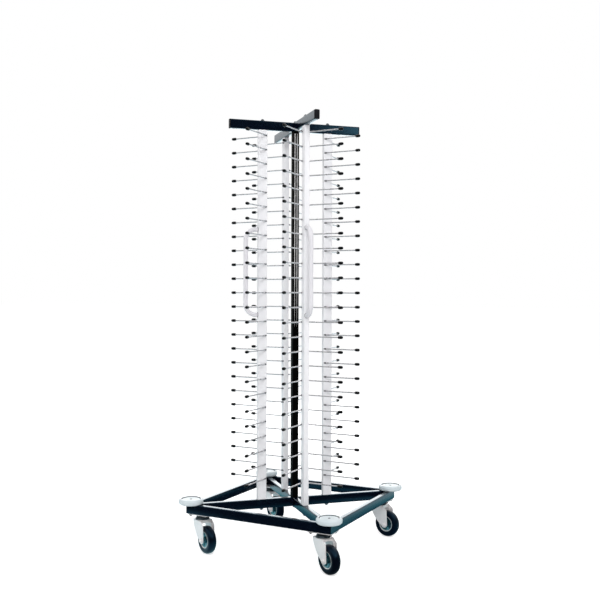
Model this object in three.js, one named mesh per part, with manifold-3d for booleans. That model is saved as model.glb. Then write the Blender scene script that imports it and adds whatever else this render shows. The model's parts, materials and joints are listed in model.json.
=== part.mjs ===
// A plate dispenser cart: a square tube base on four swivel castors, a mast and a top cross, and
// four upright rails whose pairs of wire arms hold a hundred plates in four stacks.
// Millimetres, +Z up. The origin is on the floor under the centre of the base, and the front is -Y.

import * as THREE from 'three';
import { mergeGeometries, mergeVertices } from 'three/addons/utils/BufferGeometryUtils.js';
import Module from 'manifold-3d';

const wasm = await Module();
wasm.setup();

// Fits
const seatGap = 0.3; // between pieces that are bolted or pressed together
const runningGap = 0.4; // between a turning piece and what carries it

// Rectangular tube of the base frame, the base cross and the top cross
const baseSide = 600;
const tubeWidth = 20;
const tubeHeight = 35;
const tubeWall = 1.5;
const tubeCorner = 2.5;
const topArmLength = 260; // from the mast's axis to the cut end of a top bar

// End caps of the top bars
const capThickness = 3;
const capPlugDepth = 10;

// Mast
const mastSide = 24;
const mastWall = 2.5;
const fluteWidth = 4;
const fluteDepth = 1;
const fluteSpacing = 9; // between the centres of the two flutes of a face

// Rails
const rackHeight = 1420; // between the base's upper side and the top cross's underside
const railDepth = 35; // away from the mast
const railWidth = 20;
const railWall = 2;
const railCorner = 1.5;
const railRadius = 132.5; // from the mast's axis to the rail's axis
const plugLength = 12; // threaded insert in each end of a rail and of the mast

// Wire arms, two in each row of a rail
const rowPitch = 55;
const firstRow = 79; // height of the lowest arms above the base's upper side
const topRowRoom = 18; // least height left above the highest arms
const armSpread = 45; // degrees between an arm and the rail's own direction from the mast
const armCorner = 5; // how far inside the rail's inner face the two arms of a row would meet
const wireDiameter = 5;
const wireSides = 4;
const armLength = 163; // from that corner to the end of the tip
const tipDiameter = 11.5;
const tipLength = 19;
const tipSides = 5;
const rootOffset = 8; // where an arm starts in the rail's side wall, from the rail's middle plane

// Handles, on the two front rails
const gripDiameter = 18;
const gripSides = 10;
const gripReach = 47.5; // from the rail's outer face to the grip's axis
const gripSpan = 328; // between the axes of the two ends
const gripHeight = 873; // of the grip's middle above the base's upper side
const gripBend = 40;
const bendSteps = 4;

// Bumper discs on the corners
const bumperDiameter = 92;
const bumperThickness = 20;
const bumperInset = 13; // of the disc's axis from the frame's outer faces
const bumperEdge = 4;
const bumperRecessRadius = 5.2;
const bumperRecessDepth = 6;
const bumperSides = 16;

// Bolts
const boltDiameter = 8;
const boltHeadRadius = 7;
const bumperBoltDiameter = 5;
const bumperBoltHeadRadius = 4.4;
const boltHeadHeight = 5;
const boltEngagement = 10; // in the insert or the tube that a bolt is screwed into
const boltSides = 6;

// Castors
const castorHeight = 143; // from the floor to the frame's underside
const wheelDiameter = 102;
const wheelWidth = 32;
const treadWidth = 14;
const treadShoulder = 6;
const wheelSides = 16;
const rimRadius = 30;
const rimWidth = 28;
const hubRadius = 11;
const hubLength = 44;
const webHalfThickness = 4;
const castorTrail = 36; // from the swivel axis to the axle
const castorHeading = -27.7; // degrees from +X to where the wheels trail at rest
const strayHeading = -11; // of the one castor that rests at another angle
const castorInsetX = 48; // of the swivel axis from the frame's outer faces
const castorInsetY = 38;
const plateLength = 95; // along X
const plateWidth = 67;
const plateThickness = 3;
const plateCorner = 6;
const plateHolesX = 75;
const plateHolesY = 45;
const plateBoltRadius = 7;
const plateBoltHeight = 6;
const crownDrop = 21; // from the frame's underside to the crown's upper side
const forkThickness = 3;
const forkSideGap = 0.5; // between the hub and a fork leg
const crownBack = 26; // from the swivel axis to the crown's rear edge
const crownFront = 27;
const legShoulder = 14; // straight length of a leg's rear edge below the crown
const legEndRadius = 13;
const legBackAngle = 205; // where the rear edge meets the round end, in degrees from the trail's direction
const legBackCurveX = 44; // from the axle back to the corner that the rear edge's curve rounds
const legBackCurveZ = 16; // and from the axle up to it
const legFrontTaper = 2; // from the round end's width to the front edge at the lip
const lipDrop = 15.5; // from the crown's upper side to the corners of its front lip
const lipArch = 5;
const raceRadius = 23;
const raceFlare = 4;
const raceSides = 8;
const pinRadius = 6;
const rivetRadius = 9;
const rivetHeight = 4;
const axleDiameter = 8;
const axleNutRadius = 7.5;
const axleNutHeight = 5;

// Heights and places that follow from these sizes
const frameBottom = castorHeight;
const frameTop = frameBottom + tubeHeight;
const topBottom = frameTop + rackHeight;
const topTop = topBottom + tubeHeight;
const half = baseSide / 2;
const railOuter = railRadius + railDepth / 2;
const armCornerRadius = railRadius - railDepth / 2 - armCorner;
const rowCount = Math.floor((rackHeight - firstRow - topRowRoom) / rowPitch) + 1;
const barGrip = tubeHeight + 2 * seatGap; // of a bolt through a bar into an insert
const degree = Math.PI / 180;

const corners = [
  { name: 'front_left', x: -1, y: -1, heading: castorHeading },
  { name: 'front_right', x: 1, y: -1, heading: castorHeading },
  { name: 'back_right', x: 1, y: 1, heading: strayHeading },
  { name: 'back_left', x: -1, y: 1, heading: castorHeading },
];

// Finishes
const blackPaint = { color: 0x0a0d14, roughness: 0.25, metalness: 0.2 };
const whitePaint = { color: 0xe9eaf0, roughness: 0.4, metalness: 0.1 };
const paleGrip = { color: 0xdcdde2, roughness: 0.45, metalness: 0.0 };
const blackPlastic = { color: 0x0b0b0d, roughness: 0.5, metalness: 0.0 };
const palePlastic = { color: 0xd3d9de, roughness: 0.5, metalness: 0.0 };
const zinc = { color: 0xc9cdc8, roughness: 0.3, metalness: 0.9 };
const brightSteel = { color: 0xb4bcc0, roughness: 0.25, metalness: 1.0 };
const blackRubber = { color: 0x0c0d10, roughness: 0.6, metalness: 0.0 };

// From a three.js geometry to a closed solid that can be cut and joined, and back
function solid(geometry) {
  const bare = geometry.index ? geometry.toNonIndexed() : geometry.clone();
  bare.deleteAttribute('normal');
  bare.deleteAttribute('uv');
  const merged = mergeVertices(bare, 1e-4);
  return new wasm.Manifold(new wasm.Mesh({
    numProp: 3,
    vertProperties: new Float32Array(merged.attributes.position.array),
    triVerts: new Uint32Array(merged.index.array),
  }));
}

function toGeometry(body) {
  const mesh = body.getMesh();
  const geometry = new THREE.BufferGeometry();
  geometry.setAttribute('position', new THREE.BufferAttribute(mesh.vertProperties, 3));
  geometry.setIndex(new THREE.BufferAttribute(mesh.triVerts, 1));
  geometry.computeVertexNormals();
  return geometry;
}

function addPiece(parent, name, body, look) {
  const mesh = new THREE.Mesh(toGeometry(body), new THREE.MeshStandardMaterial(look));
  mesh.name = name;
  parent.add(mesh);
}

function groupAt(parent, x, y, z, turn = 0) {
  const group = new THREE.Group();
  group.position.set(x, y, z);
  group.rotation.z = turn;
  parent.add(group);
  return group;
}

// Outlines
function polygon(radius, sides) {
  const points = [];
  for (let i = 0; i < sides; i++) {
    const angle = (i + 0.5) * 2 * Math.PI / sides;
    points.push(new THREE.Vector2(radius * Math.cos(angle), radius * Math.sin(angle)));
  }
  return points;
}

function roundedRectangle(width, height, corner, steps = 1) {
  const points = [];
  for (let quarter = 0; quarter < 4; quarter++) {
    const signX = quarter === 0 || quarter === 3 ? 1 : -1;
    const signY = quarter < 2 ? 1 : -1;
    for (let step = 0; step <= steps; step++) {
      const angle = (quarter + step / steps) * Math.PI / 2;
      points.push(new THREE.Vector2(
        signX * (width / 2 - corner) + corner * Math.cos(angle),
        signY * (height / 2 - corner) + corner * Math.sin(angle),
      ));
    }
  }
  return points;
}

// Prism of an outline, from z = low to z = high
function prism(outline, low, high, holes = []) {
  const shape = new THREE.Shape(outline);
  shape.holes = holes.map((points) => new THREE.Path(points));
  const geometry = new THREE.ExtrudeGeometry(shape, { depth: high - low, bevelEnabled: false });
  return geometry.translate(0, 0, low);
}

// Solid of revolution about Z. The profile holds [radius, height] pairs, counterclockwise.
function turned(profile, sides, turn = 0) {
  const points = profile.map(([radius, height]) => new THREE.Vector2(radius, height));
  const geometry = new THREE.LatheGeometry(points, sides, turn);
  return geometry.rotateX(Math.PI / 2);
}

function ring(profile, sides, turn = 0) {
  return turned([...profile, profile[0]], sides, turn);
}

function box(sizeX, sizeY, low, high) {
  return new THREE.BoxGeometry(sizeX, sizeY, high - low).translate(0, 0, (low + high) / 2);
}

// Lays a prism along X: its outline's x goes along Y and its outline's y goes upwards
function laidAlongX(geometry) {
  return geometry.applyMatrix4(new THREE.Matrix4().makeBasis(
    new THREE.Vector3(0, 1, 0),
    new THREE.Vector3(0, 0, 1),
    new THREE.Vector3(1, 0, 0),
  ));
}

// Hollow tube of the frame and the crosses, along X with its underside at z = 0
function frameTube(length) {
  const outer = roundedRectangle(tubeWidth, tubeHeight, tubeCorner);
  const inner = roundedRectangle(tubeWidth - 2 * tubeWall, tubeHeight - 2 * tubeWall, tubeWall);
  return laidAlongX(prism(outer, -length / 2, length / 2, [inner])).translate(0, 0, tubeHeight / 2);
}

function boltHole(x, y, low, high, diameter = boltDiameter) {
  const radius = (diameter / 2 + seatGap) / Math.cos(Math.PI / boltSides);
  return solid(prism(polygon(radius, boltSides), low, high).translate(x, y, 0));
}

// Bolt whose head sits on z = 0 and whose shank goes down
function bolt(grip, diameter = boltDiameter, headRadius = boltHeadRadius) {
  const shank = diameter / 2;
  return solid(turned([
    [0, -grip - boltEngagement],
    [shank, -grip - boltEngagement],
    [shank, seatGap],
    [headRadius, seatGap],
    [headRadius, boltHeadHeight],
    [0, boltHeadHeight],
  ], boltSides, Math.PI / boltSides));
}

function boltUpwards(grip) {
  const upright = toGeometry(bolt(grip));
  return solid(upright.rotateX(Math.PI));
}

// Base frame: four mitred tubes, with holes for the bumper bolts in the corners
function baseTube() {
  const mitreGap = seatGap / Math.SQRT2;
  const outer = half - mitreGap;
  const inner = half - tubeWidth - mitreGap;
  const trapezium = [
    new THREE.Vector2(-outer, -half),
    new THREE.Vector2(outer, -half),
    new THREE.Vector2(inner, tubeWidth - half),
    new THREE.Vector2(-inner, tubeWidth - half),
  ];
  const tube = solid(frameTube(baseSide).translate(0, tubeWidth / 2 - half, 0));
  const mitred = tube.intersect(solid(prism(trapezium, 0, tubeHeight)));
  const bumperAxis = half - bumperInset;
  return mitred
    .subtract(boltHole(-bumperAxis, -bumperAxis, tubeHeight / 2, tubeHeight + 1, bumperBoltDiameter))
    .subtract(boltHole(bumperAxis, -bumperAxis, tubeHeight / 2, tubeHeight + 1, bumperBoltDiameter));
}

function addBaseFrame(cart) {
  const sides = ['front', 'right', 'back', 'left'];
  sides.forEach((side, i) => {
    const place = groupAt(cart, 0, 0, frameBottom, i * Math.PI / 2);
    addPiece(place, `base_tube_${side}`, baseTube(), blackPaint);
  });
}

// A cross is one long bar through the middle and a short bar on each side of it
function crossBar(start, end, limit, holes) {
  let bar = solid(frameTube(end - start).translate((start + end) / 2, 0, 0));
  if (limit) {
    bar = bar.intersect(limit);
  }
  for (const x of holes) {
    bar = bar.subtract(boltHole(x, 0, -1, tubeHeight + 1));
  }
  return bar;
}

function addCross(cart, name, height, reach, limit) {
  const shortStart = tubeWidth / 2 + seatGap;
  const longBar = groupAt(cart, 0, 0, height, 45 * degree);
  const frontBar = groupAt(cart, 0, 0, height, -45 * degree);
  const backBar = groupAt(cart, 0, 0, height, 135 * degree);
  const longHoles = [-railRadius, 0, railRadius];
  addPiece(longBar, `${name}_bar_long`, crossBar(-reach, reach, limit, longHoles), blackPaint);
  const shortBar = crossBar(shortStart, reach, limit, [railRadius]);
  addPiece(frontBar, `${name}_bar_front_right`, shortBar, blackPaint);
  addPiece(backBar, `${name}_bar_back_left`, shortBar, blackPaint);
}

// The base cross's bars end in points that fill the frame's inner corners
function insideFrame() {
  const inner = baseSide - 2 * (tubeWidth + seatGap);
  return solid(box(inner, inner, -1, tubeHeight + 1).rotateZ(45 * degree));
}

function endCap() {
  const flange = roundedRectangle(tubeWidth, tubeHeight, tubeCorner);
  const clearance = 2 * (tubeWall + seatGap);
  const plug = roundedRectangle(tubeWidth - clearance, tubeHeight - clearance, tubeWall);
  const cap = solid(prism(flange, seatGap, capThickness))
    .add(solid(prism(plug, -capPlugDepth, seatGap)));
  return solid(laidAlongX(toGeometry(cap)));
}

// Upright hollow section with a threaded insert in each end, from z = 0
function upright(outline, cavity, length, additions) {
  let body = solid(prism(outline, 0, length));
  if (additions) {
    body = body.add(additions);
  }
  return body
    .subtract(solid(prism(cavity, plugLength, length - plugLength)))
    .subtract(boltHole(0, 0, -1, plugLength + 1))
    .subtract(boltHole(0, 0, length - plugLength - 1, length + 1));
}

function flutedSquare() {
  const outline = [];
  const side = mastSide / 2;
  for (let face = 0; face < 4; face++) {
    const along = [-side];
    const depth = [0];
    for (const centre of [-fluteSpacing / 2, fluteSpacing / 2]) {
      along.push(centre - fluteWidth / 2, centre - fluteWidth / 4);
      along.push(centre + fluteWidth / 4, centre + fluteWidth / 2);
      depth.push(0, fluteDepth, fluteDepth, 0);
    }
    along.forEach((x, i) => {
      const point = new THREE.Vector2(x, depth[i] - side);
      outline.push(point.rotateAround(new THREE.Vector2(), face * Math.PI / 2));
    });
  }
  return outline;
}

function mast() {
  const bore = mastSide - 2 * mastWall;
  const cavity = roundedRectangle(bore, bore, mastWall / 2);
  return upright(flutedSquare(), cavity, rackHeight - 2 * seatGap, null);
}

// A length of one of a row's two arms, measured from the corner where they would meet
function armLengthwise(outline, from, to, side, height) {
  return prism(outline, from, to)
    .rotateY(Math.PI / 2)
    .rotateZ(side * armSpread * degree)
    .translate(armCornerRadius - railRadius, 0, height);
}

// Rail with all its rows of arms, standing on z = 0 with its own axis at the origin.
// Each arm is a wire from the rail's side wall and a barrel tip that stops the plate.
function rail() {
  const wireOutline = polygon(wireDiameter / 2 * Math.sqrt(Math.PI / 2), wireSides); // of the wire's area
  const tipOutline = polygon(tipDiameter / 2, tipSides);
  const root = rootOffset / Math.sin(armSpread * degree);
  const wires = [];
  const tips = [];
  for (let row = 0; row < rowCount; row++) {
    const height = firstRow + row * rowPitch - seatGap;
    for (const side of [-1, 1]) {
      wires.push(armLengthwise(wireOutline, root, armLength - tipLength / 2, side, height));
      tips.push(armLengthwise(tipOutline, armLength - tipLength, armLength, side, height));
    }
  }
  const arms = solid(mergeGeometries(wires)).add(solid(mergeGeometries(tips)));
  const outline = roundedRectangle(railDepth, railWidth, railCorner);
  const innerCorner = railCorner / 2;
  const cavity = roundedRectangle(railDepth - 2 * railWall, railWidth - 2 * railWall, innerCorner);
  return upright(outline, cavity, rackHeight - 2 * seatGap, arms);
}

// Path of a handle in the arm's own plane: two straight ends joined to the grip by round bends
class HandlePath extends THREE.Curve {
  constructor() {
    super();
    const top = gripSpan / 2;
    this.stations = [[railOuter + seatGap, -top, 0]];
    for (const [sign, first, last] of [[-1, 0, 1], [1, 1, 0]]) {
      for (let step = 0; step <= bendSteps; step++) {
        const share = first + (last - first) * step / bendSteps;
        const angle = share * Math.PI / 2;
        this.stations.push([
          railOuter + gripReach - gripBend + gripBend * Math.sin(angle),
          sign * (top - gripBend + gripBend * Math.cos(angle)),
          sign < 0 ? angle : Math.PI - angle,
        ]);
      }
    }
    this.stations.push([railOuter + seatGap, top, Math.PI]);
  }

  station(t) {
    return this.stations[Math.round(t * (this.stations.length - 1))];
  }

  getPointAt(t) {
    const [x, z] = this.station(t);
    return new THREE.Vector3(x, 0, z);
  }

  getTangentAt(t) {
    const angle = this.station(t)[2];
    return new THREE.Vector3(Math.cos(angle), 0, Math.sin(angle));
  }
}

function handle() {
  const path = new HandlePath();
  const section = new THREE.Shape(polygon(gripDiameter / 2, gripSides));
  const steps = path.stations.length - 1;
  return solid(new THREE.ExtrudeGeometry(section, { steps, extrudePath: path }));
}

function addRails(cart) {
  for (const corner of corners) {
    const turn = Math.atan2(corner.y, corner.x);
    const radial = groupAt(cart, 0, 0, 0, turn);
    const foot = groupAt(radial, railRadius, 0, frameTop + seatGap);
    addPiece(foot, `rail_${corner.name}`, rail(), whitePaint);
    const above = groupAt(radial, railRadius, 0, topTop);
    addPiece(above, `rail_bolt_top_${corner.name}`, bolt(barGrip), zinc);
    const below = groupAt(radial, railRadius, 0, frameBottom);
    addPiece(below, `rail_bolt_base_${corner.name}`, boltUpwards(barGrip), zinc);
    const capPlace = groupAt(radial, topArmLength, 0, topBottom + tubeHeight / 2);
    addPiece(capPlace, `end_cap_${corner.name}`, endCap(), blackPlastic);
    if (corner.y < 0) {
      const gripPlace = groupAt(radial, 0, 0, frameTop + gripHeight);
      addPiece(gripPlace, `handle_${corner.name}`, handle(), paleGrip);
    }
  }
}

function addMast(cart) {
  const foot = groupAt(cart, 0, 0, frameTop + seatGap, 45 * degree);
  addPiece(foot, 'mast', mast(), blackPaint);
  addPiece(groupAt(cart, 0, 0, topTop), 'mast_bolt_top', bolt(barGrip), zinc);
  addPiece(groupAt(cart, 0, 0, frameBottom), 'mast_bolt_base', boltUpwards(barGrip), zinc);
}

// Bumper: a thick plastic disc with a recess for its bolt, from z = 0
function bumper() {
  const radius = bumperDiameter / 2;
  const bore = bumperBoltDiameter / 2 + runningGap;
  const floor = bumperThickness - bumperRecessDepth;
  return solid(ring([
    [bore, 0],
    [radius - bumperEdge, 0],
    [radius, bumperEdge],
    [radius, bumperThickness - bumperEdge],
    [radius - bumperEdge, bumperThickness],
    [bumperRecessRadius, bumperThickness],
    [bumperRecessRadius, floor],
    [bore, floor],
  ], bumperSides));
}

function addBumpers(cart) {
  const axis = half - bumperInset;
  const grip = bumperThickness - bumperRecessDepth + runningGap + seatGap;
  for (const corner of corners) {
    const place = groupAt(cart, corner.x * axis, corner.y * axis, frameTop + seatGap);
    addPiece(place, `bumper_${corner.name}`, bumper(), palePlastic);
    const head = groupAt(place, 0, 0, bumperThickness - bumperRecessDepth + runningGap);
    const screw = bolt(grip, bumperBoltDiameter, bumperBoltHeadRadius);
    addPiece(head, `bumper_bolt_${corner.name}`, screw, zinc);
  }
}

// Castor pieces are made round the swivel axis, with z = 0 on the floor and the wheel trailing to +X
const plateTop = frameBottom - seatGap;
const plateBottom = plateTop - plateThickness;
const plateMiddle = plateTop - plateThickness / 2;
const crownTop = frameBottom - crownDrop;
const crownBottom = crownTop - forkThickness;
const raceSplit = (crownTop + plateBottom) / 2;
const axleHeight = wheelDiameter / 2;
const legInner = hubLength / 2 + forkSideGap;
const legOuter = legInner + forkThickness;

// Top plate with the upper half of the ball race, the riveted king pin and the bolts to the frame
function castorPlate(corner) {
  const plate = prism(roundedRectangle(plateLength, plateWidth, plateCorner), plateBottom, plateTop);
  const rivetTop = crownBottom - runningGap;
  const race = turned([
    [0, rivetTop - rivetHeight],
    [rivetRadius, rivetTop - rivetHeight],
    [rivetRadius, rivetTop],
    [pinRadius, rivetTop],
    [pinRadius, raceSplit],
    [raceRadius, raceSplit],
    [raceRadius + raceFlare, plateBottom],
    [raceRadius + raceFlare, plateMiddle],
    [0, plateMiddle],
  ], raceSides);
  let body = solid(plate).add(solid(race));
  const headBottom = plateBottom - plateBoltHeight;
  for (const [x, y] of [[1, 1], [-1, 1], [1, -1]]) {
    const head = prism(polygon(plateBoltRadius, boltSides), headBottom, plateMiddle)
      .translate(corner.x * x * plateHolesX / 2, corner.y * y * plateHolesY / 2, 0);
    body = body.add(solid(head));
  }
  return body;
}

// Side view of a fork leg, in x along the trail and y upwards
function legOutline() {
  const shape = new THREE.Shape();
  shape.moveTo(crownFront, crownTop);
  shape.lineTo(-crownBack, crownTop);
  shape.lineTo(-crownBack, crownTop - legShoulder);
  const backAngle = legBackAngle * degree;
  shape.quadraticCurveTo(
    castorTrail - legBackCurveX,
    axleHeight + legBackCurveZ,
    castorTrail + legEndRadius * Math.cos(backAngle),
    axleHeight + legEndRadius * Math.sin(backAngle),
  );
  shape.absarc(castorTrail, axleHeight, legEndRadius, backAngle, 2 * Math.PI, false);
  shape.lineTo(castorTrail + legEndRadius - legFrontTaper, crownTop - lipDrop);
  return shape.getPoints(3);
}

function forkLeg(side) {
  const low = side > 0 ? legInner : -legOuter;
  const upright = prism(legOutline(), low, low + forkThickness);
  // the outline's y goes up and its z goes to -Y
  return solid(upright.rotateX(Math.PI / 2).translate(0, 2 * low + forkThickness, 0));
}

function forkLip() {
  const shape = new THREE.Shape();
  shape.moveTo(-legOuter, crownTop);
  shape.lineTo(-legOuter, crownTop - lipDrop);
  shape.quadraticCurveTo(0, crownTop - lipDrop + 2 * lipArch, legOuter, crownTop - lipDrop);
  shape.lineTo(legOuter, crownTop);
  return solid(laidAlongX(prism(shape.getPoints(4), crownFront - forkThickness, crownFront)));
}

function castorFork() {
  const crown = box(crownBack + crownFront, 2 * legOuter, crownBottom, crownTop)
    .translate((crownFront - crownBack) / 2, 0, 0);
  const lowerRace = turned([
    [0, crownBottom + forkThickness / 2],
    [raceRadius + raceFlare, crownBottom + forkThickness / 2],
    [raceRadius + raceFlare, crownTop],
    [raceRadius, raceSplit - runningGap],
    [0, raceSplit - runningGap],
  ], raceSides);
  const pinHole = (pinRadius + runningGap) / Math.cos(Math.PI / raceSides);
  const axleHole = (axleDiameter / 2 + seatGap) / Math.cos(Math.PI / boltSides);
  const axleBore = prism(polygon(axleHole, boltSides), -hubLength, hubLength)
    .rotateX(Math.PI / 2)
    .translate(castorTrail, 0, axleHeight);
  return solid(crown)
    .add(solid(lowerRace))
    .add(forkLeg(-1))
    .add(forkLeg(1))
    .add(forkLip())
    .subtract(solid(prism(polygon(pinHole, raceSides), crownBottom - 1, raceSplit + 1)))
    .subtract(solid(axleBore));
}

// Pieces round the axle are turned about Z and then laid down with their axis along Y
function onAxle(geometry) {
  return solid(geometry.rotateX(Math.PI / 2).translate(castorTrail, 0, axleHeight));
}

function castorAxle() {
  const shank = axleDiameter / 2;
  const face = legOuter + seatGap;
  const end = face + axleNutHeight;
  return onAxle(turned([
    [0, -end],
    [axleNutRadius, -end],
    [axleNutRadius, -face],
    [shank, -face],
    [shank, face],
    [axleNutRadius, face],
    [axleNutRadius, end],
    [0, end],
  ], boltSides));
}

function castorRim() {
  const bore = axleDiameter / 2 + runningGap;
  const edge = rimWidth / 2;
  return onAxle(ring([
    [bore, -hubLength / 2],
    [hubRadius, -hubLength / 2],
    [hubRadius, -webHalfThickness],
    [rimRadius, -edge],
    [rimRadius, edge],
    [hubRadius, webHalfThickness],
    [hubRadius, hubLength / 2],
    [bore, hubLength / 2],
  ], wheelSides, Math.PI / wheelSides));
}

// The flats of the tread lie at the wheel's radius, so the wheel stands on a flat and not on a corner
function castorTyre() {
  const flat = Math.cos(Math.PI / wheelSides);
  const radius = wheelDiameter / 2;
  const edge = wheelWidth / 2;
  const bead = rimWidth / 2 - seatGap;
  return onAxle(ring([
    [rimRadius + seatGap / flat, -bead],
    [(radius - treadShoulder) / flat, -edge],
    [radius / flat, -treadWidth / 2],
    [radius / flat, treadWidth / 2],
    [(radius - treadShoulder) / flat, edge],
    [rimRadius + seatGap / flat, bead],
  ], wheelSides, Math.PI / wheelSides));
}

function addCastors(cart) {
  for (const corner of corners) {
    const x = corner.x * (half - castorInsetX);
    const y = corner.y * (half - castorInsetY);
    const fixed = groupAt(cart, x, y, 0);
    addPiece(fixed, `castor_plate_${corner.name}`, castorPlate(corner), zinc);
    const swivel = groupAt(cart, x, y, 0, corner.heading * degree);
    addPiece(swivel, `castor_fork_${corner.name}`, castorFork(), zinc);
    addPiece(swivel, `castor_axle_${corner.name}`, castorAxle(), zinc);
    addPiece(swivel, `castor_rim_${corner.name}`, castorRim(), brightSteel);
    addPiece(swivel, `castor_tyre_${corner.name}`, castorTyre(), blackRubber);
  }
}

const cart = new THREE.Group();
addBaseFrame(cart);
addCross(cart, 'base', frameBottom, baseSide, insideFrame());
addCross(cart, 'top', topBottom, topArmLength, null);
addMast(cart);
addRails(cart);
addBumpers(cart);
addCastors(cart);

export default cart;
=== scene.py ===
# Looks of the plate dispenser cart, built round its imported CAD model. Metres, +Z up, the front is -Y.
import json
import math

import bmesh
import bpy
from mathutils import Matrix, Vector


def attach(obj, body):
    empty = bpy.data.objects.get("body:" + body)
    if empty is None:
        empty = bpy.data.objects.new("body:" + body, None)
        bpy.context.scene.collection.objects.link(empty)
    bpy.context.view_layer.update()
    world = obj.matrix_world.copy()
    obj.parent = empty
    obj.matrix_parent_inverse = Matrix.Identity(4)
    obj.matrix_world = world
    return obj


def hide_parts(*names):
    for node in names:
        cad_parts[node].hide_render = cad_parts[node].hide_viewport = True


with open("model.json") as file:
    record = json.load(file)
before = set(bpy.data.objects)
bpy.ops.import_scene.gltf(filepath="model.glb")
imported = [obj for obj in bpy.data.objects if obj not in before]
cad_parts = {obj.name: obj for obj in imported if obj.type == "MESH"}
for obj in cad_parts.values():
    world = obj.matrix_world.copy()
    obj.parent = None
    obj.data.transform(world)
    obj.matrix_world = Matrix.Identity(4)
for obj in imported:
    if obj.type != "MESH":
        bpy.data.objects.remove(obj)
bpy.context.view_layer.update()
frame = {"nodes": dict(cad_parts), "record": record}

# Sizes in millimetres, as in the CAD model
FRAME_SIDE = 600
FRAME_BOTTOM = 143
TUBE_WIDTH = 20
TUBE_HEIGHT = 35
TUBE_CORNER = 3
RACK_HEIGHT = 1420
FRAME_TOP = FRAME_BOTTOM + TUBE_HEIGHT
TOP_BOTTOM = FRAME_TOP + RACK_HEIGHT
TOP_TOP = TOP_BOTTOM + TUBE_HEIGHT
TOP_ARM_LENGTH = 260
CAP_THICKNESS = 3.2
GAP = 0.3
MAST_SIDE = 24
FLUTE_PLACE = 4.5  # of a flute's centre, from the middle of its face
STRIP_WIDTH = 2.4  # of the light strip painted in a flute as its highlight
STRIP_THICKNESS = 0.5
STRIP_DEPTH = 0.8  # of the strip's middle, below the mast's face
STRIP_TOP = TOP_BOTTOM - 8
STRIP_NARROWS = 1090  # height below which it narrows
STRIP_END = 840
RAIL_RADIUS = 132.5
RAIL_DEPTH = 35
RAIL_WIDTH = 20
RAIL_FACE = RAIL_RADIUS + RAIL_DEPTH / 2
ROWS = 25
ROW_PITCH = 55
FIRST_ROW = FRAME_TOP + 79
ARM_CORNER = 110
ARM_LENGTH = 163
TIP_LENGTH = 19
GRIP_HEIGHT = FRAME_TOP + 873
GRIP_SPAN = 328
GRIP_REACH = 47.5
GRIP_BEND = 40
GRIP_RADIUS = 9
BUMPER_AXIS = FRAME_SIDE / 2 - 13
CASTOR_X = FRAME_SIDE / 2 - 48
CASTOR_Y = FRAME_SIDE / 2 - 38
CASTOR_HEADING = math.radians(-27.7)
STRAY_HEADING = math.radians(-11)  # of the back right castor
TRAIL = 36
AXLE_HEIGHT = 51
PLATE_TOP = FRAME_BOTTOM - GAP
PLATE_LENGTH = 95
PLATE_WIDTH = 67
PLATE_THICKNESS = 3
PLATE_HOLES_X = 75
PLATE_HOLES_Y = 45
CROWN_TOP = FRAME_BOTTOM - 21
CROWN_FRONT = 27
CROWN_BACK = 26
FORK_INNER = 22.5  # inner faces of the fork's legs, from its middle plane
FORK_OUTER = 25.5
LEG_SHOULDER = 14
LEG_END = 13
LEG_BACK_ANGLE = math.radians(205)  # where the leg's rear edge meets its round end
LIP_DROP = 15.5
LIP_ARCH = 5

CORNERS = {"front_left": (-1, -1), "front_right": (1, -1), "back_right": (1, 1), "back_left": (-1, 1)}


# Materials
def node(tree, kind, **inputs):
    made = tree.nodes.new(kind)
    for key, value in inputs.items():
        if isinstance(value, bpy.types.NodeSocket):
            tree.links.new(value, made.inputs[key])
        else:
            made.inputs[key].default_value = value
    return made


GRAIN_FINENESS = 14  # of the surface's ripples, against the drift of its colour
GRAIN_HEIGHT = 0.0004


def finish_material(name, colour, second, roughness, spread, scale, bump, metallic=0.0, specular=0.5,
                    tint=(1, 1, 1)):
    """A coat of paint, plating or moulded plastic: its colour and gloss drift softly and its surface ripples.
    The colour drifts between two, and the roughness by a spread either way. The scale is the drift's."""
    made = bpy.data.materials.new(name)
    made.use_nodes = True
    tree = made.node_tree
    shader = tree.nodes["Principled BSDF"]
    place = tree.nodes.new("ShaderNodeTexCoord")
    drift = node(tree, "ShaderNodeTexNoise", Vector=place.outputs["Object"], Scale=scale, Detail=3.0)
    colours = tree.nodes.new("ShaderNodeMix")
    colours.data_type = "RGBA"
    colours.inputs["A"].default_value = (*colour, 1)
    colours.inputs["B"].default_value = (*second, 1)
    tree.links.new(drift.outputs["Fac"], colours.inputs["Factor"])
    tree.links.new(colours.outputs["Result"], shader.inputs["Base Color"])
    gloss = node(tree, "ShaderNodeMapRange", Value=drift.outputs["Fac"])
    gloss.inputs["To Min"].default_value = roughness - spread
    gloss.inputs["To Max"].default_value = roughness + spread
    tree.links.new(gloss.outputs[0], shader.inputs["Roughness"])
    grain = node(tree, "ShaderNodeTexNoise", Vector=place.outputs["Object"], Scale=scale * GRAIN_FINENESS,
                 Detail=2.0)
    ripple = node(tree, "ShaderNodeBump", Height=grain.outputs["Fac"], Strength=bump, Distance=GRAIN_HEIGHT)
    tree.links.new(ripple.outputs[0], shader.inputs["Normal"])
    shader.inputs["Metallic"].default_value = metallic
    shader.inputs["Specular IOR Level"].default_value = specular
    shader.inputs["Specular Tint"].default_value = (*tint, 1)
    return made


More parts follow.
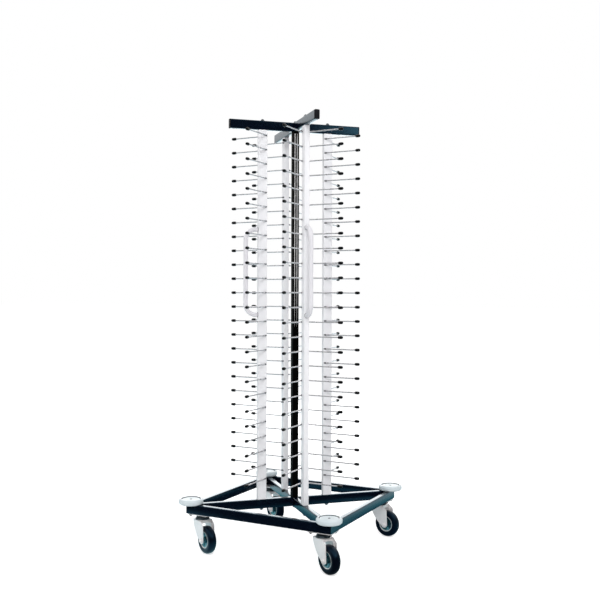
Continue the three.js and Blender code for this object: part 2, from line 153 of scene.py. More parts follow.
# One for each of the CAD model's material slots
LOOKS = {
    # The teal tint of the black paint's gloss is a painted reflection colour
    "black_paint": finish_material("black_paint", (0.001, 0.001, 0.005), (0.002, 0.004, 0.010),
                                   0.20, 0.05, 9, 0.06, tint=(0.25, 0.7, 1.0)),
    "white_paint": finish_material("white_paint", (0.79, 0.79, 0.82), (0.83, 0.83, 0.85),
                                   0.42, 0.06, 14, 0.12),
    "pale_grip": finish_material("pale_grip", (0.68, 0.67, 0.71), (0.74, 0.73, 0.76),
                                 0.38, 0.05, 14, 0.08),
    "black_plastic": finish_material("black_plastic", (0.004, 0.004, 0.006), (0.008, 0.008, 0.010),
                                     0.60, 0.08, 30, 0.15, specular=0.2),
    "pale_plastic": finish_material("pale_plastic", (0.58, 0.65, 0.68), (0.63, 0.70, 0.73),
                                    0.40, 0.05, 20, 0.10),
    "zinc": finish_material("zinc", (0.86, 0.83, 0.83), (0.76, 0.74, 0.74),
                            0.34, 0.07, 30, 0.10, metallic=0.25),
    "bright_steel": finish_material("bright_steel", (0.70, 0.76, 0.78), (0.80, 0.84, 0.85),
                                    0.24, 0.06, 40, 0.08, metallic=0.4),
    # The teal tint of the tyre's gloss is a painted sheen colour
    "tyre": finish_material("tyre", (0.001, 0.001, 0.004), (0.002, 0.003, 0.007),
                            0.30, 0.05, 40, 0.20, specular=0.28, tint=(0.2, 0.6, 1.0)),
}
# And those of the pieces that differ from their slot in the photograph
MAST = finish_material("mast", (0.001, 0.001, 0.001), (0.003, 0.003, 0.003),
                       0.40, 0.05, 9, 0.06, specular=0.01)
# Painted highlight: the light colour of the strips in the mast's flutes stands for the light they catch
FLUTE_HIGHLIGHT = finish_material("flute", (0.66, 0.65, 0.66), (0.76, 0.75, 0.76),
                        0.40, 0.05, 40, 0.06, specular=0.3)
BOLT = finish_material("bolt", (0.16, 0.17, 0.19), (0.28, 0.29, 0.31),
                       0.30, 0.06, 60, 0.10, metallic=0.8)
WIRE = finish_material("wire", (0.52, 0.51, 0.53), (0.60, 0.59, 0.60),
                       0.28, 0.06, 40, 0.08, metallic=0.6)
TIP = finish_material("tip", (0.001, 0.001, 0.002), (0.003, 0.003, 0.003),
                      0.30, 0.05, 60, 0.20, specular=0.25)
SLEEVE = finish_material("sleeve", (0.08, 0.08, 0.09), (0.12, 0.12, 0.13),
                         0.45, 0.08, 60, 0.15)
# Painted shade: near black for the walls of the bumpers' groove
GROOVE_PAINTED_SHADE = finish_material("groove_liner_shade", (0.010, 0.010, 0.012), (0.020, 0.020, 0.022),
                         0.60, 0.08, 60, 0.15)
# Dark steel of the castors' ball races: grease, and painted shade where they lie between the plate and the crown
RACE_GREASE_AND_SHADE = finish_material("race_grease_and_painted_shade", (0.03, 0.04, 0.05), (0.06, 0.08, 0.09),
                             0.30, 0.08, 60, 0.15, metallic=0.8)
# Painted reflection: the dark teal of the wheels' dish and hub stands for the teal they mirror
DISH_PAINTED_REFLECTION = finish_material("dish", (0.01, 0.08, 0.12), (0.12, 0.32, 0.36),
                       0.16, 0.05, 60, 0.08, metallic=0.9)


# Mesh helpers. A form is made in its own millimetres and then set in place, in metres.
def at(x=0, y=0, z=0, turn=0):
    return Matrix.Scale(0.001, 4) @ Matrix.Translation((x, y, z)) @ Matrix.Rotation(turn, 4, "Z")


def moved(form, matrix):
    bmesh.ops.transform(form, matrix=matrix, verts=form.verts)
    return form


def joined(forms):
    whole = bmesh.new()
    for form in forms:
        mesh = bpy.data.meshes.new("part")
        form.to_mesh(mesh)
        form.free()
        whole.from_mesh(mesh)
        bpy.data.meshes.remove(mesh)
    return whole


def piece(name, form, matrix, look, body, stands_for=(), sharp=32):
    """Makes an object of a form. Edges over sharp degrees stay sharp."""
    moved(form, matrix)
    bmesh.ops.recalc_face_normals(form, faces=form.faces)
    mesh = bpy.data.meshes.new(name)
    form.to_mesh(mesh)
    form.free()
    mesh.shade_smooth()
    mesh.set_sharp_from_angle(angle=math.radians(sharp))
    mesh.materials.append(look)
    made = bpy.data.objects.new(name, mesh)
    bpy.context.scene.collection.objects.link(made)
    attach(made, body)
    if stands_for:
        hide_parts(*stands_for)
    return made


def rounded(points, steps=4, closed=True):
    """An outline whose points are (x, y, radius), with each corner rounded by its radius."""
    out = []
    last = len(points) - 1
    for i, (x, y, radius) in enumerate(points):
        here = Vector((x, y))
        if radius == 0 or (not closed and i in (0, last)):
            out.append((x, y))
            continue
        back = (Vector(points[i - 1][:2]) - here).normalized()
        on = (Vector(points[(i + 1) % len(points)][:2]) - here).normalized()
        half = back.angle(on) / 2
        centre = here + (back + on).normalized() * radius / math.sin(half)
        start = here + back * radius / math.tan(half) - centre
        end = here + on * radius / math.tan(half) - centre
        for step in range(steps + 1):
            spoke = (start * (1 - step / steps) + end * (step / steps)).normalized()
            point = centre + spoke * radius
            out.append((point.x, point.y))
    return out


def rectangle(width, height, radius, steps=4):
    w, h = width / 2, height / 2
    return rounded([(-w, -h, radius), (w, -h, radius), (w, h, radius), (-w, h, radius)], steps)


def prism(outline, low, high, bevel=0.0):
    """An upright solid over an outline. Both rims are bevelled where a bevel is given."""
    form = bmesh.new()
    rings = [[form.verts.new((x, y, z)) for x, y in outline] for z in (low, high)]
    count = len(outline)
    form.faces.new(list(reversed(rings[0])))
    form.faces.new(rings[1])
    for i in range(count):
        j = (i + 1) % count
        form.faces.new((rings[0][i], rings[0][j], rings[1][j], rings[1][i]))
    if bevel:
        rims = [e for e in form.edges if abs(e.verts[0].co.z - e.verts[1].co.z) < 1e-6]
        bmesh.ops.bevel(form, geom=rims, offset=bevel, segments=3, profile=0.5, affect="EDGES")
    return form


def lathe(profile, segments=48, closed=False, wave=None):
    """Turns a profile of (radius, height) pairs round Z. wave may move a point along Z by its angle."""
    form = bmesh.new()
    rings = []
    for radius, height in profile:
        count = 1 if radius == 0 else segments
        ring = []
        for i in range(count):
            angle = 2 * math.pi * i / segments
            lift = wave(radius, height, angle) if wave else 0
            ring.append(form.verts.new((radius * math.cos(angle), radius * math.sin(angle), height + lift)))
        rings.append(ring)
    pairs = list(zip(rings, rings[1:]))
    if closed:
        pairs.append((rings[-1], rings[0]))
    for a, b in pairs:
        for i in range(segments):
            j = i + 1
            corners = (a[i % len(a)], a[j % len(a)], b[j % len(b)], b[i % len(b)])
            form.faces.new(list(dict.fromkeys(corners)))
    return form


def along_x(form):
    """Lays a prism along X: its outline's x goes along Y and its outline's y goes up."""
    return moved(form, Matrix(((0, 0, 1, 0), (1, 0, 0, 0), (0, 1, 0, 0), (0, 0, 0, 1))))


def cut(form, point, normal):
    """Cuts off what lies beyond the plane and closes the cut."""
    geometry = form.verts[:] + form.edges[:] + form.faces[:]
    result = bmesh.ops.bisect_plane(form, geom=geometry, plane_co=point, plane_no=normal, clear_outer=True)
    edges = [g for g in result["geom_cut"] if isinstance(g, bmesh.types.BMEdge)]
    bmesh.ops.contextual_create(form, geom=edges)
    return form


def swept(points, radius, sides=20):
    """A round tube in the XZ plane through (x, z) points."""
    form = bmesh.new()
    rings = []
    last = len(points) - 1
    for i, (x, z) in enumerate(points):
        ahead = Vector(points[min(i + 1, last)]) - Vector(points[max(i - 1, 0)])
        ahead.normalize()
        ring = []
        for k in range(sides):
            angle = 2 * math.pi * k / sides
            out = radius * math.cos(angle)
            ring.append(form.verts.new((x - out * ahead.y, radius * math.sin(angle), z + out * ahead.x)))
        rings.append(ring)
    for a, b in zip(rings, rings[1:]):
        for i in range(sides):
            j = (i + 1) % sides
            form.faces.new((a[i], a[j], b[j], b[i]))
    form.faces.new(rings[0])
    form.faces.new(rings[-1])
    return form


def hexagon(radius):
    return [(radius * math.cos(i * math.pi / 3), radius * math.sin(i * math.pi / 3)) for i in range(6)]


def bolt_head(thread=4.0, across=7.0, height=5.0, washer=9.0):
    """A hexagon head on its washer, with the end of the thread on top."""
    plate = lathe([(0, 0), (washer, 0), (washer, 1.0), (washer - 0.4, 1.3), (0, 1.3)], 24)
    head = prism(hexagon(across), 1.3, height, 0.6)
    end = lathe([(0, height - 0.5), (thread, height - 0.5), (thread, height + 1.6),
                 (thread - 0.8, height + 2.2), (0, height + 2.2)], 16)
    return joined([plate, head, end])


# Base frame, base cross and top cross
def tube(start, end, cuts=()):
    """A tube along X with its long edges rounded, cut off by planes, each a point and a normal."""
    form = along_x(prism(rectangle(TUBE_WIDTH, TUBE_HEIGHT, TUBE_CORNER), start, end))
    for point, normal in cuts:
        cut(form, point, normal)
    return form


def add_frame():
    half = FRAME_SIDE / 2
    edge = half - TUBE_WIDTH / 2
    mitres = [((edge, 0, 0), (1, 1, 0)), ((-edge, 0, 0), (-1, 1, 0))]
    for i, side in enumerate(("front", "right", "back", "left")):
        name = f"base_tube_{side}"
        turn = Matrix.Rotation(i * math.pi / 2, 4, "Z")
        place = Matrix.Translation((0, -edge, FRAME_BOTTOM + TUBE_HEIGHT / 2))
        matrix = at() @ turn @ place
        form = tube(-half - 1, half + 1, mitres)
        piece(f"{name}_look", form, matrix, LOOKS["black_paint"], "cart", [name])
    inside = (half - TUBE_WIDTH) * math.sqrt(2) - GAP
    for level, low, reach in (("base", FRAME_BOTTOM, None), ("top", TOP_BOTTOM, TOP_ARM_LENGTH)):
        pointed = []
        for sign in (1, -1):
            for side in (1, -1):
                pointed.append(((sign * inside, 0, 0), (sign, side, 0)))
        length = reach or inside + 1
        short = TUBE_WIDTH / 2 + GAP
        bars = (("long", 45, -length), ("front_right", -45, short), ("back_left", 135, short))
        for label, degrees, start in bars:
            name = f"{level}_bar_{label}"
            form = tube(start, length, () if reach else pointed)
            matrix = at(0, 0, low + TUBE_HEIGHT / 2, math.radians(degrees))
            piece(f"{name}_look", form, matrix, LOOKS["black_paint"], "cart", [name])


def add_top_caps():
    for corner, (sx, sy) in CORNERS.items():
        form = along_x(prism(rectangle(TUBE_WIDTH, TUBE_HEIGHT, TUBE_CORNER), 0, CAP_THICKNESS, 1.0))
        place = Matrix.Translation((TOP_ARM_LENGTH + GAP, 0, 0))
        matrix = at(0, 0, TOP_BOTTOM + TUBE_HEIGHT / 2, math.atan2(sy, sx)) @ place
        name = f"end_cap_{corner}"
        piece(f"{name}_look", form, matrix, LOOKS["black_plastic"], "cart", [name])


def add_bolts():
    for corner, (sx, sy) in list(CORNERS.items()) + [("mast", (0, 0))]:
        radius = RAIL_RADIUS if sx else 0
        x, y = radius * sx / math.sqrt(2), radius * sy / math.sqrt(2)
        for level, z, flip in (("top", TOP_TOP, 0), ("base", FRAME_BOTTOM, math.pi)):
            name = f"mast_bolt_{level}" if corner == "mast" else f"rail_bolt_{level}_{corner}"
            matrix = at(x, y, z) @ Matrix.Rotation(flip, 4, "X")
            piece(f"{name}_look", bolt_head(), matrix, BOLT, "cart", [name])


def add_mast_flute_highlights():
    """Light strips painted in the flutes of two opposite faces as their highlight, which narrow and run out
    under the paint towards the base.
    """
    strips = []
    for face in (0, 2):
        for across in (-FLUTE_PLACE, FLUTE_PLACE):
            outline = rectangle(STRIP_WIDTH, STRIP_THICKNESS, 0.2, 2)
            even = prism(outline, STRIP_NARROWS, STRIP_TOP)
            narrowing = prism(outline, STRIP_END, STRIP_NARROWS)
            for vert in narrowing.verts:
                vert.co.x *= 0.1 if vert.co.z < STRIP_NARROWS else 1
            sunk = Matrix.Translation((across, STRIP_DEPTH - MAST_SIDE / 2, 0))
            place = Matrix.Rotation(face * math.pi / 2, 4, "Z") @ sunk
            strips.append(moved(joined([even, narrowing]), place))
    piece("mast_flute_highlights", joined(strips), at(turn=math.pi / 4), FLUTE_HIGHLIGHT, "cart")


# Rails with their arms
def arm_place(side, height, sign_x, sign_y):
    """The matrix of one arm, whose wire runs along Z from the corner where a row's two arms would meet."""
    turn = math.atan2(sign_y, sign_x)
    corner = Matrix.Rotation(turn, 4, "Z") @ Matrix.Translation((ARM_CORNER, 0, height))
    lean = Matrix.Rotation(side * math.pi / 4, 4, "Z")
    return corner @ lean @ Matrix.Rotation(math.pi / 2, 4, "Y")


# Profiles along an arm, as (radius, distance from that corner)
TIP_START = ARM_LENGTH - TIP_LENGTH
WIRE_FORM = [(0, 12.5), (2.5, 12.5), (2.5, TIP_START + 3), (0, TIP_START + 3)]
SLEEVE_FORM = [(2.4, 11.5), (2.8, 11.5), (2.9, 12.0), (2.9, 21.4), (2.8, 22.0), (2.4, 22.0)]
TIP_FORM = [(0, TIP_START), (3.2, TIP_START), (4.4, TIP_START + 0.7), (5.35, TIP_START + 3),
            (5.75, TIP_START + 7), (5.75, TIP_START + 12), (5.35, TIP_START + 15.6), (4.4, TIP_START + 18),
            (3.0, ARM_LENGTH), (1.7, ARM_LENGTH), (1.5, ARM_LENGTH - 1.6), (0, ARM_LENGTH - 1.6)]


def add_rail(corner, sign_x, sign_y):
    turn = math.atan2(sign_y, sign_x)
    low, high = FRAME_TOP + GAP, TOP_BOTTOM - GAP
    shell = prism(rectangle(RAIL_DEPTH, RAIL_WIDTH, 2.2), low, high, 0.5)
    name = f"rail_{corner}"
    matrix = at(0, 0, 0, turn) @ Matrix.Translation((RAIL_RADIUS, 0, 0))
    piece(f"{name}_look", shell, matrix, LOOKS["white_paint"], "cart", [name])
    sets = (
        ("wires", WIRE_FORM, 10, WIRE, False),
        ("sleeves", SLEEVE_FORM, 12, SLEEVE, True),
        ("tips", TIP_FORM, 16, TIP, False),
    )
    for label, profile, sides, look, closed in sets:
        forms = []
        for row in range(ROWS):
            for side in (-1, 1):
                place = arm_place(side, FIRST_ROW + row * ROW_PITCH, sign_x, sign_y)
                forms.append(moved(lathe(profile, sides, closed), place))
        piece(f"{name}_{label}", joined(forms), at(), look, "cart", sharp=50)


JOINT_SHADE_RING_FORM = [(8.9, 0.1), (9.7, 0.1), (9.7, 1.3), (9.2, 1.7), (8.9, 1.7)]


def add_handle(corner, sign_x, sign_y):
    """A bent tube on the outer face of a front rail, with a thin dark ring at each end where it meets the rail,
    a seam darkened as painted shade of the gap.
    """
    turn = math.atan2(sign_y, sign_x)
    top = GRIP_SPAN / 2
    reach = RAIL_FACE + GRIP_REACH
    corners = [(RAIL_FACE + GAP, -top, 0), (reach, -top, GRIP_BEND),
               (reach, top, GRIP_BEND), (RAIL_FACE + GAP, top, 0)]
    tube_form = swept(rounded(corners, 12, closed=False), GRIP_RADIUS, 24)
    name = f"handle_{corner}"
    matrix = at(0, 0, GRIP_HEIGHT, turn)
    piece(f"{name}_look", tube_form, matrix, LOOKS["pale_grip"], "cart", [name], sharp=60)
    # Thin dark rings at the tube's ends: painted shade at the joint
    joint_shade_rings = []
    for z in (-top, top):
        place = Matrix.Translation((RAIL_FACE, 0, z)) @ Matrix.Rotation(math.pi / 2, 4, "Y")
        joint_shade_rings.append(moved(lathe(JOINT_SHADE_RING_FORM, 28, closed=True), place))
    piece(f"{name}_collars", joined(joint_shade_rings), matrix, SLEEVE, "cart")


# Bumpers. The disc's profile is (radius, height, rounding) from its bore outwards and back over its top.
BUMPER_FORM = [
    (2.9, 0, 0), (41, 0, 0), (46, 4.5, 4), (46, 15.5, 4), (41, 20, 2.5), (36.3, 20, 0.3), (36.0, 15, 0),
    (33.6, 15, 0), (33.3, 18, 0.4), (5.6, 18, 0.4), (5.2, 14, 0), (2.9, 14, 0),
]
# A dark liner on the walls of the bumper's groove, painted shade in the recess
GROOVE_FORM = [(33.7, 15.1), (35.9, 15.1), (35.9, 19.4), (35.4, 19.2), (35.2, 17.2), (33.7, 17.2)]
SCREW_FORM = [(0, -24), (2.5, -24), (2.5, 0), (4.4, 0), (4.4, 3.0), (3.9, 3.5), (2.4, 3.5), (2.2, 1.5), (0, 1.5)]
SCREW_HEIGHT = 14.4


def add_bumper(corner, sign_x, sign_y):
    name, body = f"bumper_{corner}", f"bumper_disc_{corner}"
    matrix = at(sign_x * BUMPER_AXIS, sign_y * BUMPER_AXIS, FRAME_TOP + GAP)
    form = lathe(rounded(BUMPER_FORM), 72, closed=True)
    piece(f"{name}_look", form, matrix, LOOKS["pale_plastic"], body, [name])
    groove_liner_shade = lathe(GROOVE_FORM, 72, closed=True)
    piece(f"{name}_groove", groove_liner_shade, matrix, GROOVE_PAINTED_SHADE, body)
    bolt = f"bumper_bolt_{corner}"
    head = moved(lathe(SCREW_FORM, 24), Matrix.Translation((0, 0, SCREW_HEIGHT)))
    piece(f"{bolt}_look", head, matrix, LOOKS["black_plastic"], "cart", [bolt])


# Castors
def leg_outline():
    """Side view of a fork leg, in x along the trail and y upwards."""
    points = [(CROWN_FRONT, CROWN_TOP), (-CROWN_BACK, CROWN_TOP), (-CROWN_BACK, CROWN_TOP - LEG_SHOULDER)]
    # the rear edge curves to the round end at the axle
    start, bend = Vector(points[-1]), Vector((TRAIL - 44, AXLE_HEIGHT + 16))
    angle = LEG_BACK_ANGLE
    stop = Vector((TRAIL + LEG_END * math.cos(angle), AXLE_HEIGHT + LEG_END * math.sin(angle)))
    for step in range(1, 10):
        t = step / 10
        point = (1 - t) ** 2 * start + 2 * t * (1 - t) * bend + t * t * stop
        points.append((point.x, point.y))
    for step in range(17):
        turn = angle + (2 * math.pi - angle) * step / 16
        points.append((TRAIL + LEG_END * math.cos(turn), AXLE_HEIGHT + LEG_END * math.sin(turn)))
    points.append((TRAIL + LEG_END - 2, CROWN_TOP - LIP_DROP))
    return points


def upright_form(outline, low, high, bevel):
    """A plate seen from the side: its outline's y goes up and its thickness runs along Y."""
    form = prism(outline, low, high, bevel)
    return moved(form, Matrix(((1, 0, 0, 0), (0, 0, -1, 0), (0, 1, 0, 0), (0, 0, 0, 1))))


def fork_form():
    """Two legs, the crown across them, its arched lip in front and the turned-in front edge of each leg."""
    inner, outer = FORK_INNER, FORK_OUTER
    sheet = outer - inner
    forms = [upright_form(leg_outline(), inner, outer, 0.9), upright_form(leg_outline(), -outer, -inner, 0.9)]
    crown = prism(rectangle(CROWN_FRONT + CROWN_BACK, 2 * outer, 3), CROWN_TOP - sheet, CROWN_TOP, 0.9)
    forms.append(moved(crown, Matrix.Translation(((CROWN_FRONT - CROWN_BACK) / 2, 0, 0))))
    lip = CROWN_TOP - LIP_DROP
    arch = [(-outer, CROWN_TOP), (-outer, lip)]
    for step in range(1, 12):
        t = step / 12
        arch.append((outer * (2 * t - 1), lip + 4 * LIP_ARCH * t * (1 - t)))
    arch += [(outer, lip), (outer, CROWN_TOP)]
    forms.append(along_x(prism(arch, CROWN_FRONT - sheet, CROWN_FRONT, 0.8)))
    high, low = CROWN_TOP - 15, AXLE_HEIGHT + 14
    for side in (-1, 1):
        edge = [(30, high), (44, low), (46, low), (32, high)]
        start = inner - sheet if side > 0 else -inner
        forms.append(upright_form(edge, start, start + sheet, 0.5))
    return joined(forms)


def race_form():
    """The ball race on top of the fork's crown, dark with grease and with painted shade under the plate."""
    profile = rounded([(0, CROWN_TOP - 1, 0), (27, CROWN_TOP - 1, 0), (27, CROWN_TOP + 1.5, 1),
                       (23, CROWN_TOP + 7.6, 2), (0, CROWN_TOP + 7.6, 0)], 4, closed=False)
    return lathe(profile, 40)


def plate_form():
    """The castor's top plate, and the rivet head of its king pin under the crown."""
    plate = prism(rectangle(PLATE_LENGTH, PLATE_WIDTH, 8, 6), PLATE_TOP - PLATE_THICKNESS, PLATE_TOP, 0.7)
    rivet = rounded([(0, CROWN_TOP - 3.6, 0), (9, CROWN_TOP - 3.6, 0), (9, CROWN_TOP - 6, 2),
                     (0, CROWN_TOP - 7.6, 0)], 4, closed=False)
    return joined([plate, lathe(rivet, 24)])


def plate_race_form():
    """The race pressed under the plate, dark with grease and with painted shade."""
    profile = rounded([(0, PLATE_TOP - 1, 0), (27, PLATE_TOP - 1, 0), (27, PLATE_TOP - 4, 1.5),
                       (23.2, PLATE_TOP - 9.7, 2), (0, PLATE_TOP - 9.7, 0)], 4, closed=False)
    return lathe(profile, 40)


def plate_bolts_form(sign_x, sign_y):
    """The heads of the three bolts that lie under a tube."""
    forms = []
    for x, y in ((1, 1), (-1, 1), (1, -1)):
        head = moved(bolt_head(3.4, 6.6, 5.2, 8), Matrix.Rotation(math.pi, 4, "X"))
        hole = (sign_x * x * PLATE_HOLES_X / 2, sign_y * y * PLATE_HOLES_Y / 2, PLATE_TOP - PLATE_THICKNESS)
        forms.append(moved(head, Matrix.Translation(hole)))
    return joined(forms)


def laid(form):
    """Turns a form made round Z so that it lies round the axle."""
    turn = Matrix.Rotation(math.pi / 2, 4, "X")
    return moved(form, Matrix.Translation((TRAIL, 0, AXLE_HEIGHT)) @ turn)


def mirrored(half):
    """A closed profile from its half with positive heights, ordered from the bore outwards."""
    return half + [(radius, -height) for radius, height in reversed(half)]


RIBS = 6
RIB_HEIGHT = 2.2
RIB_START = 13
RIB_END = 26


def rim_wave(radius, height, angle):
    """Ribs pressed into the dish between the hub and the ring."""
    if not RIB_START < radius < RIB_END:
        return 0
    ripple = 0.5 + 0.5 * math.cos(RIBS * angle)
    swell = math.sin(math.pi * (radius - RIB_START) / (RIB_END - RIB_START))
    return math.copysign(RIB_HEIGHT * ripple ** 2 * swell, height)


# Half profiles round the axle, as (radius, distance from the wheel's middle plane)
RING_FORM = [(27.0, 9.0), (27.2, 12.6), (27.9, 14.2), (29.0, 14.8), (29.9, 14.4), (30.0, 13.8)]
DISH_FORM = [(12.0, 4.2), (14.0, 4.0), (17.0, 4.6), (20.0, 5.4), (23.0, 6.6), (25.5, 8.4), (27.05, 10.2)]
HUB_FORM = [(4.4, 22), (9.5, 22), (10.6, 21.2), (11.0, 20), (11.4, 8), (12.6, 5), (13.2, 3.9)]
TYRE_FORM = [(30.3, 13.7), (31.5, 14.9), (34.0, 15.7), (38.0, 16.0), (42.0, 15.9), (45.2, 14.8), (47.8, 12.6),
             (49.6, 9.6), (50.6, 6.0), (51.0, 2.0)]


def wheel_form(half, segments, wave=None):
    return laid(lathe(mirrored(half), segments, True, wave))


def axle_form():
    """The axle with a nut at either end, made round Z."""
    forms = []
    for flip in (0, math.pi):
        head = moved(bolt_head(4, 7.5, 5.5, 9.5), Matrix.Translation((0, 0, FORK_OUTER + GAP)))
        forms.append(moved(head, Matrix.Rotation(flip, 4, "X")))
    forms.append(lathe([(0, -26), (3.9, -26), (3.9, 26), (0, 26)], 20))
    return joined(forms)


def add_castor(corner, sign_x, sign_y):
    x, y = sign_x * CASTOR_X, sign_y * CASTOR_Y
    fixed = at(x, y)
    turned = at(x, y, 0, STRAY_HEADING if corner == "back_right" else CASTOR_HEADING)
    fork, wheel = f"fork_{corner}", f"wheel_{corner}"
    plate = f"castor_plate_{corner}"
    piece(f"{plate}_look", plate_form(), fixed, LOOKS["zinc"], "cart", [plate])
    piece(f"{plate}_race", plate_race_form(), fixed, RACE_GREASE_AND_SHADE, "cart")
    heads = plate_bolts_form(sign_x, sign_y)
    piece(f"{plate}_bolts", heads, fixed, LOOKS["black_plastic"], "cart")
    name = f"castor_fork_{corner}"
    piece(f"{name}_look", fork_form(), turned, LOOKS["zinc"], fork, [name])
    piece(f"{name}_race", race_form(), turned, RACE_GREASE_AND_SHADE, fork)
    name = f"castor_axle_{corner}"
    piece(f"{name}_look", laid(axle_form()), turned, LOOKS["zinc"], fork, [name])
    name = f"castor_rim_{corner}"
    steel = "bright_steel"
    piece(f"{name}_look", wheel_form(RING_FORM, 64), turned, LOOKS[steel], wheel, [name])
    piece(f"{name}_dish", wheel_form(DISH_FORM, 72, rim_wave), turned, DISH_PAINTED_REFLECTION, wheel, sharp=60)
    piece(f"{name}_hub", wheel_form(HUB_FORM, 40), turned, DISH_PAINTED_REFLECTION, wheel)
    name = f"castor_tyre_{corner}"
    piece(f"{name}_look", wheel_form(TYRE_FORM, 96), turned, LOOKS["tyre"], wheel, [name], sharp=60)


add_frame()
add_top_caps()
add_bolts()
add_mast_flute_highlights()
for corner, (sign_x, sign_y) in CORNERS.items():
    add_rail(corner, sign_x, sign_y)
    add_bumper(corner, sign_x, sign_y)
    add_castor(corner, sign_x, sign_y)
    if sign_y < 0:
        add_handle(corner, sign_x, sign_y)

# CAD nodes that stay take the same finishes
slots = {part["node"]: part["material_slot"] for part in frame["record"]["subparts"]}
for name, shown in frame["nodes"].items():
    shown.data.materials.clear()
    shown.data.materials.append(MAST if name == "mast" else LOOKS[slots[name]])


# Floor, light and camera
FLOOR_GLOW = 0.5
WORLD_LIGHT = 0.55
TOWARDS_CAMERA = (0.466, -0.885, 0)
TOWARDS_DARK_WALL = (0.707, -0.707, 0)
# Levels of what glossy surfaces mirror
DARK_WALL = 0.04
BRIGHT_WALL = 1.35
# What the paint mirrors in the floor, by the distance from the middle of the painted shadow, in metres: a
# painted shadow under the object that runs out into painted teal reflections
FLOOR_PAINTED_SHADES = [
    (0.25, (0.0, 0.02, 0.04)),
    (0.42, (0.02, 0.10, 0.16)),
    (0.56, (0.04, 0.20, 0.28)),
    (0.72, (0.16, 0.55, 0.62)),
    (0.84, (0.55, 0.80, 0.88)),
]


def darkening(tree, place, axis, near, far):
    """Bright where a place or a direction lies short of near along an axis, and dark beyond far."""
    along = node(tree, "ShaderNodeVectorMath")
    along.operation = "DOT_PRODUCT"
    tree.links.new(place, along.inputs[0])
    along.inputs[1].default_value = axis
    level = node(tree, "ShaderNodeMapRange", Value=along.outputs["Value"])
    level.interpolation_type = "SMOOTHSTEP"
    level.inputs["From Min"].default_value = near
    level.inputs["From Max"].default_value = far
    level.inputs["To Min"].default_value = BRIGHT_WALL
    level.inputs["To Max"].default_value = DARK_WALL
    return level.outputs[0]


def add_floor():
    form = bmesh.new()
    corners = [form.verts.new((x, y, 0)) for x, y in ((-60, -60), (60, -60), (60, 60), (-60, 60))]
    form.faces.new(corners)
    mesh = bpy.data.meshes.new("floor")
    form.to_mesh(mesh)
    form.free()
    made = bpy.data.materials.new("floor")
    made.use_nodes = True
    tree = made.node_tree
    shader = tree.nodes["Principled BSDF"]
    shader.inputs["Base Color"].default_value = (0.95, 0.95, 0.95, 1)
    shader.inputs["Roughness"].default_value = 0.9
    shader.inputs["Specular IOR Level"].default_value = 0.0
    shader.inputs["Emission Color"].default_value = (1, 1, 1, 1)
    path = tree.nodes.new("ShaderNodeLightPath")
    glow = node(tree, "ShaderNodeMath", Value=path.outputs["Is Camera Ray"])
    glow.operation = "MULTIPLY"
    glow.inputs[1].default_value = FLOOR_GLOW
    tree.links.new(glow.outputs[0], shader.inputs["Emission Strength"])
    # in reflections the floor is dark in front of the object, with a painted shadow under it that runs out into
    # painted teal colours
    place = tree.nodes.new("ShaderNodeNewGeometry")
    reflected = tree.nodes.new("ShaderNodeEmission")
    level = darkening(tree, place.outputs["Position"], TOWARDS_CAMERA, 0.20, 0.45)
    tree.links.new(level, reflected.inputs["Strength"])
    shade = node(tree, "ShaderNodeMapping", Vector=place.outputs["Position"])
    shade.inputs["Location"].default_value = (0, -0.45, 0)
    shade.inputs["Scale"].default_value = (1.2, 1, 0)
    distance = node(tree, "ShaderNodeVectorMath")
    distance.operation = "LENGTH"
    tree.links.new(shade.outputs[0], distance.inputs[0])
    shades = node(tree, "ShaderNodeValToRGB", Fac=distance.outputs["Value"])
    stops = shades.color_ramp.elements
    while len(stops) < len(FLOOR_PAINTED_SHADES):
        stops.new(0.5)
    for stop, (position, colour) in zip(stops, FLOOR_PAINTED_SHADES):
        stop.position = position
        stop.color = (*colour, 1)
    tree.links.new(shades.outputs["Color"], reflected.inputs["Color"])
    either = tree.nodes.new("ShaderNodeMixShader")
    tree.links.new(path.outputs["Is Glossy Ray"], either.inputs[0])
    tree.links.new(shader.outputs[0], either.inputs[1])
    tree.links.new(reflected.outputs[0], either.inputs[2])
    tree.links.new(either.outputs[0], tree.nodes["Material Output"].inputs["Surface"])
    mesh.materials.append(made)
    floor = bpy.data.objects.new("floor", mesh)
    bpy.context.scene.collection.objects.link(floor)


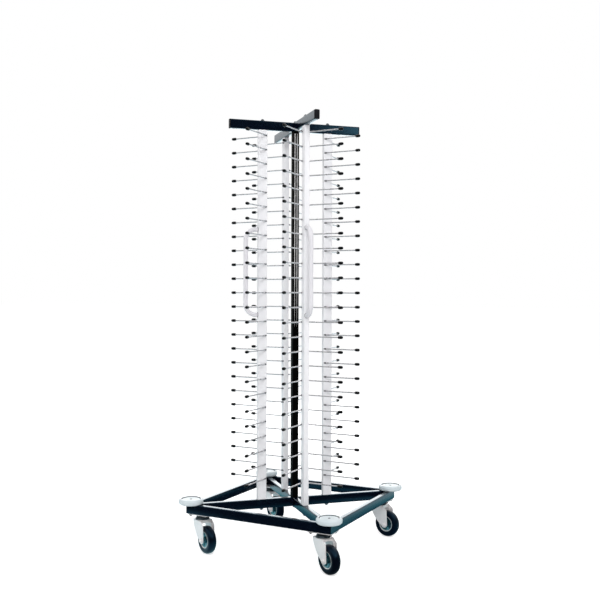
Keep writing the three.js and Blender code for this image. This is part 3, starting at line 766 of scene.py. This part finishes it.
def add_world(strength):
    """White behind the object, and a plain even light on it. Its reflections show a white ceiling, white
    walls and one dark wall."""
    world = bpy.data.worlds.new("studio")
    bpy.context.scene.world = world
    world.use_nodes = True
    tree = world.node_tree
    back = tree.nodes["Background"]
    back.inputs["Color"].default_value = (1, 1, 1, 1)
    place = tree.nodes.new("ShaderNodeTexCoord")
    path = tree.nodes.new("ShaderNodeLightPath")
    walls = darkening(tree, place.outputs["Generated"], TOWARDS_DARK_WALL, -0.60, 0.15)
    ceiling = darkening(tree, place.outputs["Generated"], (0, 0, -1), -0.65, -0.35)
    room = node(tree, "ShaderNodeMath")
    room.operation = "MAXIMUM"
    tree.links.new(walls, room.inputs[0])
    tree.links.new(ceiling, room.inputs[1])
    reflected = node(tree, "ShaderNodeMapRange", Value=path.outputs["Is Glossy Ray"])
    reflected.inputs["To Min"].default_value = strength
    tree.links.new(room.outputs[0], reflected.inputs["To Max"])
    level = node(tree, "ShaderNodeMapRange", Value=path.outputs["Is Camera Ray"])
    tree.links.new(reflected.outputs[0], level.inputs["To Min"])
    level.inputs["To Max"].default_value = 1.0
    tree.links.new(level.outputs[0], back.inputs["Strength"])


def add_lamp(name, place, aim, size, power, mirrored_in_paint=False):
    lamp = bpy.data.lights.new(name, "AREA")
    lamp.shape = "RECTANGLE"
    lamp.size, lamp.size_y = size
    lamp.energy = power
    made = bpy.data.objects.new(name, lamp)
    made.location = place
    made.rotation_euler = (Vector(aim) - Vector(place)).to_track_quat("-Z", "Y").to_euler()
    made.visible_glossy = mirrored_in_paint
    bpy.context.scene.collection.objects.link(made)


add_floor()
add_world(WORLD_LIGHT)
add_lamp("key", (2.4, -3.6, 3.5), (0, 0, 0.9), (1.8, 1.8), 112)
add_lamp("fill", (-2.8, -2.6, 2.6), (0, 0, 0.8), (1.8, 1.8), 25)
add_lamp("top", (0, 0, 4.6), (0, 0, 0.8), (2.0, 2.0), 8)
add_lamp("back", (-1.9, 3.6, 1.5), (0, 0, 0.3), (2.8, 1.8), 38, mirrored_in_paint=True)
add_lamp("strip", (3.05, -0.75, 2.15), (0.15, 0.15, 1.6), (0.7, 1.2), 11, mirrored_in_paint=True)

# The camera as it was fitted to the photograph
lens = bpy.data.cameras.new("camera")
lens.sensor_width = 36
lens.lens = 50.73
lens.shift_x = 0.0087
lens.shift_y = -0.0086
lens.clip_end = 500
camera = bpy.data.objects.new("camera", lens)
camera.location = (1.535, -2.917, 0.964)
camera.rotation_euler = (math.radians(90), math.radians(-0.17), math.radians(27.76))
bpy.context.scene.collection.objects.link(camera)
bpy.context.scene.camera = camera
bpy.context.scene.view_settings.view_transform = "Standard"
